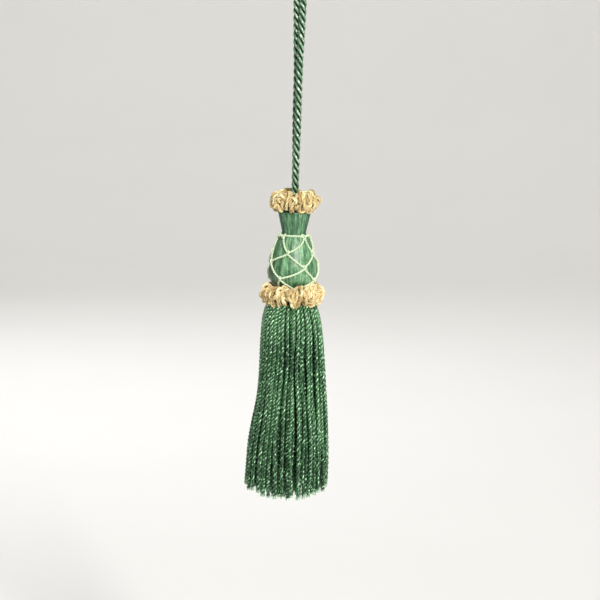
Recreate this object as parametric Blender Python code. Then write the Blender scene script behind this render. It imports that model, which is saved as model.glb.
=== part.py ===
"""Key tassel: a looped cord, a floss-covered head in a thread net, two looped ruffs and a fringe skirt.

Metres, +Z up. The origin is the hang point, on the inside top of the cord's eye. The tassel hangs
down from it along -Z, and its front faces -Y. On the tassel itself a place is given by its drop,
the distance below the top of the neck ruff, and by its turn, the angle about Z in degrees from the
front, positive towards +X.
"""

import math

import bmesh
import bpy
from mathutils import Vector
from mathutils.geometry import interpolate_bezier

# ---- driving dimensions --------------------------------------------------------------------------
HANG_HEIGHT = 0.0745  # from the top of the neck ruff up to the hang point
GAP = 0.0003  # clearance between neighbouring pieces

CORD_DIAMETER = 0.0023
CORD_POINT_SPACING = 2.0 * CORD_DIAMETER

THREAD_WIDTH = 0.0007
NET_SAG = 0.00026  # how far a straight part of the thread dips below the curve that it follows

NECK_RUFF_DROP = 0.0038  # the middle of the ring
NECK_RUFF_RADIUS = 0.0054
NECK_RUFF_HALF_WIDTH = 0.0025
NECK_RUFF_HALF_HEIGHT = 0.0031
NECK_RUFF_LOOPS = 11

SKIRT_RUFF_DROP = 0.0337
SKIRT_RUFF_RADIUS = 0.0073
SKIRT_RUFF_HALF_WIDTH = 0.0029
SKIRT_RUFF_HALF_HEIGHT = 0.0028
SKIRT_RUFF_LOOPS = 15

RUFF_LUMP = 0.10  # how far a loop stands out or in, as a share of the ring's half width

# ---- short tables --------------------------------------------------------------------------------
# One leg of the doubled cord, from the head up to the top of the eye. The other leg is opposite.
# Columns: height above the top of the neck ruff, distance from the tassel's axis, turn in degrees.
CORD_LEG = (
    (-0.0022, 0.00120, 3),
    (0.0040, 0.00120, 3),
    (0.0100, 0.00120, 6),
    (0.0160, 0.00120, 12),
    (0.0220, 0.00120, 17),
    (0.0280, 0.00120, 18),
    (0.0340, 0.00120, 18),
    (0.0400, 0.00120, 21),
    (0.0450, 0.00120, 32),
    (0.0510, 0.00120, 42),
    (0.0570, 0.00120, 55),
    (0.0612, 0.00121, 66),
    (0.0635, 0.00150, 69),
    (0.0655, 0.00228, 71),
    (0.0673, 0.00350, 72),
    (0.0688, 0.00448, 73),
    (0.0709, 0.00498, 74),
    (0.0733, 0.00432, 75),
    (0.0750, 0.00250, 76),
)
CORD_TOP_HEIGHT = HANG_HEIGHT + 0.5 * CORD_DIAMETER

# Outline of the floss-covered mould. Columns: drop, radius.
HEAD_OUTLINE = (
    (0.0026, 0.0000),
    (0.0026, 0.0021),
    (0.0030, 0.0024),
    (0.0068, 0.0025),
    (0.0072, 0.0046),
    (0.0076, 0.0052),
    (0.0086, 0.0050),
    (0.0108, 0.0045),
    (0.0130, 0.0040),
    (0.0146, 0.0038),
    (0.0152, 0.0045),
    (0.0165, 0.0051),
    (0.0186, 0.0059),
    (0.0208, 0.0066),
    (0.0232, 0.0073),
    (0.0256, 0.0077),
    (0.0274, 0.0076),
    (0.0290, 0.0072),
    (0.0301, 0.0064),
    (0.0308, 0.0055),
    (0.0314, 0.0046),
    (0.0319, 0.0038),
    (0.0325, 0.0034),
    (0.0362, 0.0033),
    (0.0362, 0.0000),
)
HEAD_FACES_ROUND = 20

# The knots of the net, a row for each round. A knot hangs between two of the round above, the first
# one between that round's first two, so each round starts a little further round than the last.
# Columns: drop, turn in degrees.
NET_ROUNDS = (
    ((0.0155, 176), (0.0155, 232), (0.0155, 298), (0.0155, 401), (0.0155, 460)),
    ((0.0202, 207), (0.0200, 281), (0.0200, 346), (0.0201, 422), (0.0198, 500)),
    ((0.0238, 246), (0.0231, 296), (0.0245, 387), (0.0239, 463), (0.0243, 536)),
    ((0.0276, 262), (0.0274, 333), (0.0278, 421), (0.0275, 500), (0.0272, 573)),
    ((0.0292, 298), (0.0292, 372), (0.0292, 459), (0.0292, 538), (0.0292, 606)),
)
NET_SIDE_PARTS = 3  # straight parts in the thread between two knots

# The rows of strands on the one heading, outermost first.
# Columns: strands, turn of the first one, radius of a strand, distance from the axis at the heading,
# the same at the ends, drop of the ends.
SKIRT_ROWS = (
    (32, 2, 0.00082, 0.00895, 0.01255, 0.0975),
    (18, 7, 0.00095, 0.00665, 0.00960, 0.0968),
    (10, 0, 0.00095, 0.00415, 0.00650, 0.0960),
    (4, 20, 0.00095, 0.00185, 0.00310, 0.0955),
)
SKIRT_FLARE = 0.72  # under 1 the skirt widens most near its top
STRAND_SPREAD = 0.15  # how much thicker a strand is at its end than at the heading
STRAND_SWAY = 0.4  # how far a strand wanders to its side, in degrees
STRAND_UNEVEN = 0.0005  # how far a strand's end is from the level of its row
SIDE_RISE = 0.0017  # how much shorter the strands are at the two sides of the skirt
# Where the strands part into tufts, as turns in degrees.
PARTINGS = (-150, -115, -87, -58, -18, 12, 32, 61, 95, 140, 172)
PARTING_PUSH = 2.0  # how far a parting moves the strand ends beside it, in degrees
PARTING_REACH = 12.0  # how far round its push is felt, in degrees
STRAND_SIDES = 6
STRAND_PARTS = 4  # along a strand
STRAND_TIP = 0.7  # the width of a strand's rounded tip, as a share of its own width
STRAND_TOP_DROP = 0.0379
HEADING_OUTLINE = (
    (0.0365, 0.0000),
    (0.0365, 0.0030),
    (0.0375, 0.0032),
    (0.0376, 0.0082),
    (0.0382, 0.0089),
    (0.0393, 0.0089),
    (0.0395, 0.0000),
)
HEADING_FACES_ROUND = 24

# Columns: colour (linear), roughness.
FINISHES = {
    "cord_green": ((0.065, 0.150, 0.062), 0.55),
    "floss_green": ((0.110, 0.290, 0.150), 0.40),
    "net_thread": ((0.640, 0.760, 0.520), 0.50),
    "ruff_cream": ((0.700, 0.540, 0.240), 0.70),
    "skirt_green": ((0.045, 0.135, 0.060), 0.50),
}


# ---- helpers -------------------------------------------------------------------------------------
def clear_scene():
    for old in list(bpy.data.objects):
        bpy.data.objects.remove(old, do_unlink=True)


def finish_material(name):
    colour, roughness = FINISHES[name]
    material = bpy.data.materials.new(name)
    material.use_nodes = True
    shader = material.node_tree.nodes["Principled BSDF"]
    shader.inputs["Base Color"].default_value = (*colour, 1.0)
    shader.inputs["Roughness"].default_value = roughness
    shader.inputs["Metallic"].default_value = 0.0
    return material


def add_object(name, data, finish, parent, drop=0.0):
    """An object that holds data, hung from parent, with its own origin at that drop."""
    piece = bpy.data.objects.new(name, data)
    bpy.context.scene.collection.objects.link(piece)
    piece.parent = parent
    piece.location = (0.0, 0.0, -HANG_HEIGHT - drop)
    data.materials.append(finish_material(finish))
    return piece


def mesh_from(shape, name):
    """A smooth-shaded mesh from a bmesh, with its faces turned outwards."""
    bmesh.ops.recalc_face_normals(shape, faces=shape.faces)
    mesh = bpy.data.meshes.new(name)
    shape.to_mesh(mesh)
    shape.free()
    mesh.shade_smooth()
    mesh.set_sharp_from_angle(angle=math.radians(50))
    return mesh


def place(drop, radius, turn):
    """The point at this drop, distance from the axis and turn in degrees."""
    angle = math.radians(turn)
    return Vector((radius * math.sin(angle), -radius * math.cos(angle), -drop))


def smooth_curve(points, steps):
    """Points along a smooth curve that passes through the given ones."""
    last = len(points) - 1
    slopes = [
        (points[min(i + 1, last)] - points[max(i - 1, 0)]) / 6.0 for i in range(last + 1)
    ]
    curve = [points[0]]
    for i in range(last):
        start = points[i]
        end = points[i + 1]
        part = interpolate_bezier(start, start + slopes[i], end - slopes[i + 1], end, steps + 1)
        curve.extend(part[1:])
    return curve


def evenly_spaced(curve, spacing):
    """The curve again, with its points one spacing apart or a little less."""
    lengths = [0.0]
    for before, after in zip(curve, curve[1:]):
        lengths.append(lengths[-1] + (after - before).length)
    count = math.ceil(lengths[-1] / spacing)
    spaced = []
    at = 0
    for i in range(count + 1):
        wanted = lengths[-1] * i / count
        while at < len(curve) - 2 and lengths[at + 1] < wanted:
            at += 1
        share = (wanted - lengths[at]) / (lengths[at + 1] - lengths[at])
        spaced.append(curve[at].lerp(curve[at + 1], share))
    return spaced


def turned_mesh(name, outline, faces_round):
    """The solid of revolution of an outline of (drop, radius) rows that starts and ends on the axis."""
    shape = bmesh.new()
    rings = [shape.verts.new(place(drop, radius, 90)) for drop, radius in outline]
    edges = [shape.edges.new(pair) for pair in zip(rings, rings[1:])]
    bmesh.ops.spin(
        shape,
        geom=rings + edges,
        axis=(0, 0, 1),
        cent=(0, 0, 0),
        angle=math.tau,
        steps=faces_round,
        use_merge=True,
    )
    bmesh.ops.remove_doubles(shape, verts=shape.verts, dist=1e-6)
    return mesh_from(shape, name)


def radius_on(outline, drop):
    """The outline's radius at this drop."""
    for (drop_a, radius_a), (drop_b, radius_b) in zip(outline, outline[1:]):
        if drop_a <= drop <= drop_b and drop_b > drop_a:
            share = (drop - drop_a) / (drop_b - drop_a)
            return radius_a + share * (radius_b - radius_a)
    raise ValueError(f"the outline has no radius at drop {drop}")


# ---- pieces --------------------------------------------------------------------------------------
def cord_route():
    """The cord's middle line, up one leg, over the eye and down the other."""
    up = []
    for height, reach, turn in CORD_LEG:
        up.append(place(-height, reach, turn))
    down = [Vector((-p.x, -p.y, p.z)) for p in reversed(up)]
    top = Vector((0.0, 0.0, CORD_TOP_HEIGHT))
    return up + [top] + down


def make_cord(parent):
    points = evenly_spaced(smooth_curve(cord_route(), 8), CORD_POINT_SPACING)
    curve = bpy.data.curves.new("hanging_cord", "CURVE")
    curve.dimensions = "3D"
    curve.bevel_depth = 0.5 * CORD_DIAMETER
    curve.bevel_resolution = 2
    curve.use_fill_caps = True
    spline = curve.splines.new("POLY")
    spline.points.add(len(points) - 1)
    for spline_point, point in zip(spline.points, points):
        spline_point.co = (*point, 1.0)
    return add_object("hanging_cord", curve, "cord_green", parent)


def make_head(parent):
    mesh = turned_mesh("head", HEAD_OUTLINE, HEAD_FACES_ROUND)
    return add_object("head", mesh, "floss_green", parent)


def net_point(drop, turn):
    """A point of the net's inner side, which clears the head by the gap and by its own facets' sag."""
    return place(drop, radius_on(HEAD_OUTLINE, drop) + GAP + NET_SAG, turn)


def net_side(knot_a, knot_b):
    """The (drop, turn) places along the thread between two knots, without the second knot."""
    places = []
    for i in range(NET_SIDE_PARTS):
        share = i / NET_SIDE_PARTS
        drop = knot_a[0] + share * (knot_b[0] - knot_a[0])
        turn = knot_a[1] + share * (knot_b[1] - knot_a[1])
        places.append((drop, turn))
    return places


def net_knot(row, i):
    """The (drop, turn) of a knot, with i counted on past a whole round."""
    knots = NET_ROUNDS[row]
    drop, turn = knots[i % len(knots)]
    return drop, turn + 360.0 * (i // len(knots))


def net_cells():
    """Each cell of the net as a closed ring of (drop, turn) places."""
    cells = []
    for i in range(len(NET_ROUNDS[0])):
        cells.append([net_knot(0, i), net_knot(0, i + 1), net_knot(1, i)])
        for row in range(1, len(NET_ROUNDS) - 1):
            cells.append(
                [
                    net_knot(row - 1, i + 1),
                    net_knot(row, i + 1),
                    net_knot(row + 1, i),
                    net_knot(row, i),
                ]
            )
    outlines = []
    for ring in cells:
        outline = []
        for a, b in zip(ring, ring[1:] + ring[:1]):
            outline.extend(net_side(a, b))
        outlines.append(outline)
    return outlines


def make_net(parent):
    """A lattice of thread: the net's cells on the head's surface, each opened to its thread's edge."""
    shape = bmesh.new()
    for outline in net_cells():
        shape.faces.new([shape.verts.new(net_point(drop, turn)) for drop, turn in outline])
    bmesh.ops.remove_doubles(shape, verts=shape.verts, dist=1e-5)
    cells = list(shape.faces)
    widen_net_rims(shape)
    bmesh.ops.inset_individual(shape, faces=cells, thickness=0.5 * THREAD_WIDTH, use_even_offset=True)
    bmesh.ops.delete(shape, geom=cells, context="FACES_ONLY")
    for vert in shape.verts:
        drop = -vert.co.z
        turn = math.degrees(math.atan2(vert.co.x, -vert.co.y))
        vert.co = net_point(drop, turn)
    mesh = mesh_from(shape, "head_net")
    piece = add_object("head_net", mesh, "net_thread", parent)
    thickness = piece.modifiers.new("thread_thickness", "SOLIDIFY")
    thickness.thickness = THREAD_WIDTH
    thickness.offset = 1.0
    return piece


def widen_net_rims(shape):
    """The top and bottom threads get their other half width, above and below the cells."""
    middle = -0.5 * (NET_ROUNDS[0][0][0] + NET_ROUNDS[-1][0][0])
    rims = [edge for edge in shape.edges if edge.is_boundary]
    grown = bmesh.ops.extrude_edge_only(shape, edges=rims)
    for item in grown["geom"]:
        if isinstance(item, bmesh.types.BMVert):
            item.co.z += math.copysign(0.5 * THREAD_WIDTH, item.co.z - middle)


def ruff_mesh(name, radius, half_width, half_height, loops):
    """A ring of looped yarn: a closed ring whose section swells and shrinks from loop to loop."""
    faces_along = 3 * loops
    faces_around = 9
    shape = bmesh.new()
    rings = []
    for i in range(faces_along):
        turn = 360.0 * i / faces_along
        ring = []
        for j in range(faces_around):
            around = math.tau * j / faces_around
            phase = math.radians(turn * loops)
            lump = 1.0 + RUFF_LUMP * math.sin(phase + 2.0 * around) * math.cos(0.5 * phase + around)
            out = radius + half_width * lump * math.cos(around)
            drop = -half_height * lump * math.sin(around)
            ring.append(shape.verts.new(place(drop, out, turn)))
        rings.append(ring)
    for i in range(faces_along):
        this_ring = rings[i]
        next_ring = rings[(i + 1) % faces_along]
        for j in range(faces_around):
            k = (j + 1) % faces_around
            shape.faces.new((this_ring[j], next_ring[j], next_ring[k], this_ring[k]))
    return mesh_from(shape, name)


def make_neck_ruff(parent):
    mesh = ruff_mesh(
        "neck_ruff", NECK_RUFF_RADIUS, NECK_RUFF_HALF_WIDTH, NECK_RUFF_HALF_HEIGHT, NECK_RUFF_LOOPS
    )
    return add_object("neck_ruff", mesh, "ruff_cream", parent, NECK_RUFF_DROP)


def make_skirt_ruff(parent):
    mesh = ruff_mesh(
        "skirt_ruff",
        SKIRT_RUFF_RADIUS,
        SKIRT_RUFF_HALF_WIDTH,
        SKIRT_RUFF_HALF_HEIGHT,
        SKIRT_RUFF_LOOPS,
    )
    return add_object("skirt_ruff", mesh, "ruff_cream", parent, SKIRT_RUFF_DROP)


def parting_push(turn):
    """How far the partings move a strand's end round the axis, in degrees."""
    push = 0.0
    for parting in PARTINGS:
        away = (turn - parting + 180.0) % 360.0 - 180.0
        push += math.copysign(PARTING_PUSH * math.exp(-abs(away) / PARTING_REACH), away)
    return push


def strand_sections(row, index):
    """The (centre, radius) sections of one strand, from inside the heading to its rounded end."""
    count, first_turn, radius, near, far, end_drop = row
    turn = first_turn + 360.0 * index / count
    # No two neighbours end level, and each wanders a little from its straight way down.
    end_drop += STRAND_UNEVEN * math.sin(2.4 * index + count)
    end_drop -= SIDE_RISE * math.sin(math.radians(turn)) ** 2
    sections = []
    for part in range(STRAND_PARTS + 1):
        share = part / STRAND_PARTS
        drop = STRAND_TOP_DROP + share * (end_drop - STRAND_TOP_DROP)
        reach = near + (far - near) * share**SKIRT_FLARE
        sway = share * (STRAND_SWAY * math.sin(1.7 * index + 2.6 * share) + parting_push(turn))
        thick = radius * (1.0 + STRAND_SPREAD * share)
        sections.append((place(drop, reach, turn + sway), thick))
    centre, thick = sections[-1]
    tip = STRAND_TIP * thick
    sections.append((centre - Vector((0, 0, tip)), tip))
    return sections


def make_skirt(parent):
    """The fringe as one comb: strands in rows, joined by the heading that they hang from."""
    shape = bmesh.new()
    for row in SKIRT_ROWS:
        for index in range(row[0]):
            add_strand(shape, strand_sections(row, index))
    strands_mesh = mesh_from(shape, "skirt_strands")
    strands = add_object("skirt_strands", strands_mesh, "skirt_green", parent)
    strands.hide_render = True
    strands.display_type = "WIRE"
    heading = turned_mesh("skirt", HEADING_OUTLINE, HEADING_FACES_ROUND)
    skirt = add_object("skirt", heading, "skirt_green", parent)
    joined = skirt.modifiers.new("join_strands", "BOOLEAN")
    joined.operation = "UNION"
    joined.object = strands
    return skirt


def add_strand(shape, sections):
    """One strand as a closed tube through its (centre, radius) sections."""
    rings = []
    for centre, radius in sections:
        ring = []
        for i in range(STRAND_SIDES):
            angle = math.tau * i / STRAND_SIDES
            offset = Vector((radius * math.cos(angle), radius * math.sin(angle), 0.0))
            ring.append(shape.verts.new(centre + offset))
        rings.append(ring)
    for upper, lower in zip(rings, rings[1:]):
        for i in range(STRAND_SIDES):
            k = (i + 1) % STRAND_SIDES
            shape.faces.new((upper[i], upper[k], lower[k], lower[i]))
    shape.faces.new(rings[0])
    shape.faces.new(list(reversed(rings[-1])))


def build():
    clear_scene()
    hang_point = bpy.data.objects.new("hang_point", None)
    hang_point.empty_display_size = 0.005
    bpy.context.scene.collection.objects.link(hang_point)
    make_cord(hang_point)
    make_neck_ruff(hang_point)
    make_head(hang_point)
    make_net(hang_point)
    make_skirt_ruff(hang_point)
    make_skirt(hang_point)


build()
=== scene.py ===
# %% [markdown]
# # A key tassel, made thread by thread
#
# A key tassel is the small tassel that hangs from a cupboard key. It has a cord that is doubled into
# a loop, a turned wooden mould covered with floss, a net of fine thread over the mould, two ruffs of
# looped yarn, and a skirt of twisted fringe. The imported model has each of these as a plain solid. This
# script keeps their places and makes each one again as the thread, yarn or cord that it really is.

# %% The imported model
import math
import random

import bmesh
import bpy
from mathutils import Matrix, Vector
from mathutils.geometry import interpolate_bezier


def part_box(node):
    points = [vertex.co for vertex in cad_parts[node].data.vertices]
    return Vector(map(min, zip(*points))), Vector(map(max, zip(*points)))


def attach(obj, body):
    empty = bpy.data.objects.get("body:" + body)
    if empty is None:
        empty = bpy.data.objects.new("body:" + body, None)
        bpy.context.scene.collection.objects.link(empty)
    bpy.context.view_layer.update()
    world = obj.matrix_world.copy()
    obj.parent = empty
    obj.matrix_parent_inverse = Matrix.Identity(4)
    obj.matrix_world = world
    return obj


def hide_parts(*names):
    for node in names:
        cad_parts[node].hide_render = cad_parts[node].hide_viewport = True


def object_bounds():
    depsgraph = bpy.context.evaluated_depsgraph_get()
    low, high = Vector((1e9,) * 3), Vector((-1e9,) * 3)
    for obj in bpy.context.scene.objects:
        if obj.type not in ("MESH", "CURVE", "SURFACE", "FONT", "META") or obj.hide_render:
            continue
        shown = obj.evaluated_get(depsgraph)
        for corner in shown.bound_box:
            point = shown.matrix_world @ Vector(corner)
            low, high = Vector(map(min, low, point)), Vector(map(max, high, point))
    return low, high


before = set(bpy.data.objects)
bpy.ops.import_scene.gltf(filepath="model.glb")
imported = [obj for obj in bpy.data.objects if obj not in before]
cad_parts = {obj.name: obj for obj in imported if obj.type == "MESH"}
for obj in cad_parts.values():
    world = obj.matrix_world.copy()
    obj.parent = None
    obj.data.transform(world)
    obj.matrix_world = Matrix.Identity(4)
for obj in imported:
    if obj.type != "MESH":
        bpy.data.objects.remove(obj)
cad_low, cad_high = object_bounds()
print("packed nodes:", ", ".join(sorted(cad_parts)))

# %% [markdown]
# ## How places are given
#
# Everything on a tassel is round its axis, so a place is easiest to give by how far down it is, how far
# from the axis, and how far round. The drop is measured from the top of the upper ruff, and the turn
# in degrees from the front, towards the right. The origin is the point that the loop hangs from.

# %% Places on the tassel
MM = 0.001
HANG_HEIGHT = 0.0745  # from the top of the upper ruff up to the hang point


def place(drop, radius, turn):
    """The point at this drop, distance from the axis and turn in degrees."""
    angle = math.radians(turn)
    return Vector((radius * math.sin(angle), -radius * math.cos(angle), -HANG_HEIGHT - drop))


def drop_and_turn(point):
    """How far down a point is, and its turn in degrees."""
    return -HANG_HEIGHT - point.z, math.degrees(math.atan2(point.x, -point.y))


tassel_end = -HANG_HEIGHT - cad_low.z
print(f"the skirt ends {tassel_end / MM:.1f} mm below the top of the upper ruff")

# %% [markdown]
# ## The camera
#
# A long lens from a little above shows the tassel almost without perspective. The real tassel hangs
# a degree and a half out of true, because its cord pulls it sideways. Leaning the model would spoil it
# as a part, so the camera is rolled by that angle and the model stays upright.

# %% Camera
CAMERA_DISTANCE = 0.62
CAMERA_RISE = math.radians(8.0)  # how far above the level of the tassel it stands
CAMERA_ROLL = math.radians(1.56)
VIEW_WIDTH = 0.192  # what the picture takes in at the tassel
SENSOR_WIDTH = 36.0
LOOK_AT = place(0.0358, 0.0025, 90)

towards_camera = Vector((0, -math.cos(CAMERA_RISE), math.sin(CAMERA_RISE)))
aim = Matrix.Rotation(math.radians(90) - CAMERA_RISE, 4, "X")
bpy.ops.object.camera_add(location=LOOK_AT + CAMERA_DISTANCE * towards_camera)
camera = bpy.context.object
camera.rotation_euler = (aim @ Matrix.Rotation(CAMERA_ROLL, 4, "Z")).to_euler()
camera.data.sensor_width = SENSOR_WIDTH
camera.data.lens = SENSOR_WIDTH * CAMERA_DISTANCE / VIEW_WIDTH
bpy.context.scene.camera = camera
print(f"lens {camera.data.lens:.0f} mm")

# %% [markdown]
# ## Small helpers for modelling
#
# An operator works on whatever is selected, so each step starts by selecting one piece alone. In edit
# mode the points to work on are chosen by where they are, with a test that is given as a function.

# %% Selecting
def pick(piece):
    """Makes this piece the only selected one, and the active one."""
    bpy.ops.object.select_all(action="DESELECT")
    piece.select_set(True)
    bpy.context.view_layer.objects.active = piece


def select_points(test):
    """In edit mode, selects the points whose place passes the test, and what lies between them."""
    bpy.ops.mesh.select_all(action="DESELECT")
    shape = bmesh.from_edit_mesh(bpy.context.object.data)
    for vert in shape.verts:
        vert.select = test(vert.co)
    shape.select_flush(True)
    bmesh.update_edit_mesh(bpy.context.object.data)


def finish_edit():
    """Turns all faces outwards, goes back to object mode and makes the shading smooth."""
    bpy.ops.mesh.select_all(action="SELECT")
    bpy.ops.mesh.normals_make_consistent(inside=False)
    bpy.ops.object.mode_set(mode="OBJECT")
    bpy.ops.object.shade_smooth()


def join(pieces, name):
    """Joins the pieces into one, under a new name."""
    pick(pieces[0])
    for piece in pieces:
        piece.select_set(True)
    bpy.ops.object.join()
    pieces[0].name = name
    return pieces[0]


# %% [markdown]
# ## Twisted yarn
#
# Cord, fringe, net thread and ruff yarn are all made the same way: a few strands, called plies, are
# laid round each other. A helix with a round bevel would do, but a clean looped end is easier to get
# from a circle that a Screw modifier carries up. The circle lies flat and the ply leans, so the circle
# is first drawn out sideways, by one over the cosine of the lean.
#
# Each point also stores where it is on its own ply: how far along, and which way round. The
# materials draw fibres with that, and it stays right when the yarn is bent.

# %% A straight length of twisted yarn
S_TWIST = -1
Z_TWIST = 1
LOOP_SECTIONS = 6  # in the half ring at a looped end


def ply_stretch(reach, pitch):
    """How much longer a leaning ply's flat section is than its true width."""
    return math.hypot(1.0, math.tau * reach / pitch)


def twisted_yarn(name, ply_width, reach, pitch, turns, rings, sides, hand, plies=2, looped=False):
    """A straight yarn that stands on z = 0. Its plies are centred at a distance of reach from the axis.

    rings is the number of sections in one turn. A looped yarn has two plies that join at the bottom.
    hand is S_TWIST or Z_TWIST, the way that the plies lean.
    """
    stretch = ply_stretch(reach, pitch)
    bpy.ops.mesh.primitive_circle_add(vertices=sides, radius=0.5 * ply_width, location=(0, 0, 0))
    yarn = bpy.context.object
    yarn.name = name
    bpy.ops.object.mode_set(mode="EDIT")
    bpy.ops.mesh.select_all(action="SELECT")
    bpy.ops.transform.resize(value=(1.0, stretch, 1.0), center_override=(0, 0, 0))
    bpy.ops.transform.translate(value=(reach, 0, 0))
    round_all = math.tau * (plies - 1) / plies
    bpy.ops.mesh.spin(
        steps=plies - 1, dupli=True, angle=round_all, center=(0, 0, 0), axis=(0, 0, 1)
    )
    bpy.ops.object.mode_set(mode="OBJECT")
    bpy.ops.object.modifier_add(type="SCREW")
    screw = yarn.modifiers[-1]
    screw.angle = hand * math.tau
    screw.screw_offset = pitch
    screw.iterations = turns
    screw.steps = rings
    screw.render_steps = rings
    bpy.ops.object.modifier_apply(modifier=screw.name)
    close_ends(ply_width, pitch * turns, looped)
    mark_fibres(yarn, plies, reach, hand * pitch, looped)
    return yarn


def close_ends(ply_width, length, looped):
    """Joins the two plies at the bottom in a half ring, or caps them, and caps them at the top."""
    tiny = 0.02 * ply_width
    bpy.ops.object.mode_set(mode="EDIT")
    if looped:
        select_points(lambda co: co.z < tiny and co.x > 0)
        bpy.ops.mesh.spin(steps=LOOP_SECTIONS, angle=math.pi, center=(0, 0, 0), axis=(0, 1, 0))
        bpy.ops.mesh.select_all(action="SELECT")
        bpy.ops.mesh.remove_doubles(threshold=tiny)
    else:
        cap_rings(lambda co: co.z < tiny)
    cap_rings(lambda co: co.z > length - tiny)
    finish_edit()


def cap_rings(test):
    """Fills each open ring whose points pass the test."""
    select_points(test)
    bpy.ops.mesh.edge_face_add()


def mark_fibres(yarn, plies, reach, lead, looped):
    """Stores on each point how far along its ply it is, in millimetres, and which way round."""
    fibre = yarn.data.attributes.new("fibre", "FLOAT_VECTOR", "POINT")
    stretch = ply_stretch(reach, lead)
    step = math.tau / plies
    for vert, mark in zip(yarn.data.vertices, fibre.data):
        co = vert.co
        if looped and co.z < 0:
            outward = math.hypot(co.x, co.z) - reach
            along = -reach * math.atan2(-co.z, abs(co.x))
            around = math.atan2(co.y, outward)
        else:
            turned = math.tau * co.z / lead
            at = math.atan2(co.y, co.x) - turned
            at -= step * round(at / step)
            out = math.hypot(co.x, co.y)
            around = math.atan2(out * math.sin(at) / stretch, out * math.cos(at) - reach)
            along = co.z * stretch
        mark.vector = (along / MM, math.cos(around), math.sin(around))


# %% [markdown]
# ## Laying yarn along a route
#
# A straight yarn is laid on its way by a Curve modifier: the height of each point becomes its distance
# along the curve. The route itself is a short list of points with a smooth curve through them. A yarn
# also gets a tone, a number that the materials read: the lower it is, the darker the yarn.

# %% Routes
def smooth_curve(points, steps):
    """Points along a smooth curve through the given ones, with this many steps between two.

    Its Bezier handles follow the line between the two points beside each one, a sixth of its length.
    """
    last = len(points) - 1
    handles = [(points[min(i + 1, last)] - points[max(i - 1, 0)]) / 6.0 for i in range(last + 1)]
    curve = [points[0]]
    for i in range(last):
        start = points[i]
        end = points[i + 1]
        part = interpolate_bezier(start, start + handles[i], end - handles[i + 1], end, steps + 1)
        curve.extend(part[1:])
    return curve


def route_length(points):
    return sum((b - a).length for a, b in zip(points, points[1:]))


def lay_along(yarn, points):
    """Stretches a straight yarn to the length of the route, and bends it along the route."""
    length = max(vert.co.z for vert in yarn.data.vertices)
    yarn.data.transform(Matrix.Diagonal((1.0, 1.0, route_length(points) / length, 1.0)))
    route = bpy.data.curves.new("route", "CURVE")
    route.dimensions = "3D"
    route.twist_mode = "MINIMUM"
    spline = route.splines.new("POLY")
    spline.points.add(len(points) - 1)
    for spline_point, point in zip(spline.points, points):
        spline_point.co = (*point, 1.0)
    guide = bpy.data.objects.new("route", route)
    bpy.context.scene.collection.objects.link(guide)
    pick(yarn)
    bpy.ops.object.modifier_add(type="CURVE")
    bend = yarn.modifiers[-1]
    bend.object = guide
    bend.deform_axis = "POS_Z"
    bpy.ops.object.modifier_apply(modifier=bend.name)
    bpy.data.objects.remove(guide)
    bpy.data.curves.remove(route)


def set_tone(piece, tone, change=None):
    """Stores a tone on every point. change is a function of the point's place that adds to it."""
    mesh = piece.data
    mark = mesh.attributes.get("tone") or mesh.attributes.new("tone", "FLOAT", "POINT")
    tones = [tone + (change(vert.co) if change else 0.0) for vert in mesh.vertices]
    mark.data.foreach_set("value", tones)


# %% [markdown]
# ## The cord
#
# The tassel hangs from a three-ply cord. It leaves the upper ruff, runs up beside itself, opens into a
# small eye that goes over a key, and comes back down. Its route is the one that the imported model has,
# so the points are given again here, for one leg from the ruff to the top of the eye. The other leg
# lies opposite. Both ends are hidden in the ruff, so the cord is as long as its route.

# %% Cord
CORD_DIAMETER = 2.3 * MM
CORD_PITCH = 7.0 * MM
# Columns: height above the top of the upper ruff, distance from the axis, turn in degrees.
CORD_LEG = (
    (-0.0022, 0.00120, 3),
    (0.0040, 0.00120, 3),
    (0.0100, 0.00120, 6),
    (0.0160, 0.00120, 12),
    (0.0220, 0.00120, 17),
    (0.0280, 0.00120, 18),
    (0.0340, 0.00120, 18),
    (0.0400, 0.00120, 21),
    (0.0450, 0.00120, 32),
    (0.0510, 0.00120, 42),
    (0.0570, 0.00120, 55),
    (0.0612, 0.00121, 66),
    (0.0635, 0.00150, 69),
    (0.0655, 0.00228, 71),
    (0.0673, 0.00350, 72),
    (0.0688, 0.00448, 73),
    (0.0709, 0.00498, 74),
    (0.0733, 0.00432, 75),
    (0.0750, 0.00250, 76),
)


def cord_route():
    """The cord's middle line, up one leg, over the eye and down the other."""
    up = [place(-height, reach, turn) for height, reach, turn in CORD_LEG]
    top = Vector((0.0, 0.0, 0.5 * CORD_DIAMETER))
    down = [Vector((-p.x, -p.y, p.z)) for p in reversed(up)]
    return smooth_curve(up + [top] + down, steps=8)


cord_points = cord_route()
cord_length = route_length(cord_points)
cord_turns = round(cord_length / CORD_PITCH)
cord = twisted_yarn(
    "cord_three_ply", plies=3, ply_width=0.41 * CORD_DIAMETER, reach=0.30 * CORD_DIAMETER,
    pitch=CORD_PITCH, turns=cord_turns, rings=14, sides=10, hand=S_TWIST,
)
lay_along(cord, cord_points)
set_tone(cord, 0.5)
print(f"cord {cord_length / MM:.0f} mm long, {cord_turns} turns")

# %% [markdown]
# ## Copies that differ
#
# A fringe has a hundred strands and a ruff has a hundred loops. Each is modelled once and copied, and
# every copy gets its own mesh, so that it can be turned, bent and toned in its own way.

# %% Copies
def laid_copy(master, way, girth, spin, tone, change=None):
    """A copy of a straight yarn, made thicker by girth and turned by spin, laid along its way."""
    piece = bpy.data.objects.new(master.name, master.data.copy())
    bpy.context.scene.collection.objects.link(piece)
    piece.data.transform(Matrix.Diagonal((girth, girth, 1.0, 1.0)))
    piece.data.transform(Matrix.Rotation(spin, 4, "Z"))
    lay_along(piece, way)
    set_tone(piece, tone, change)
    return piece


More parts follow.
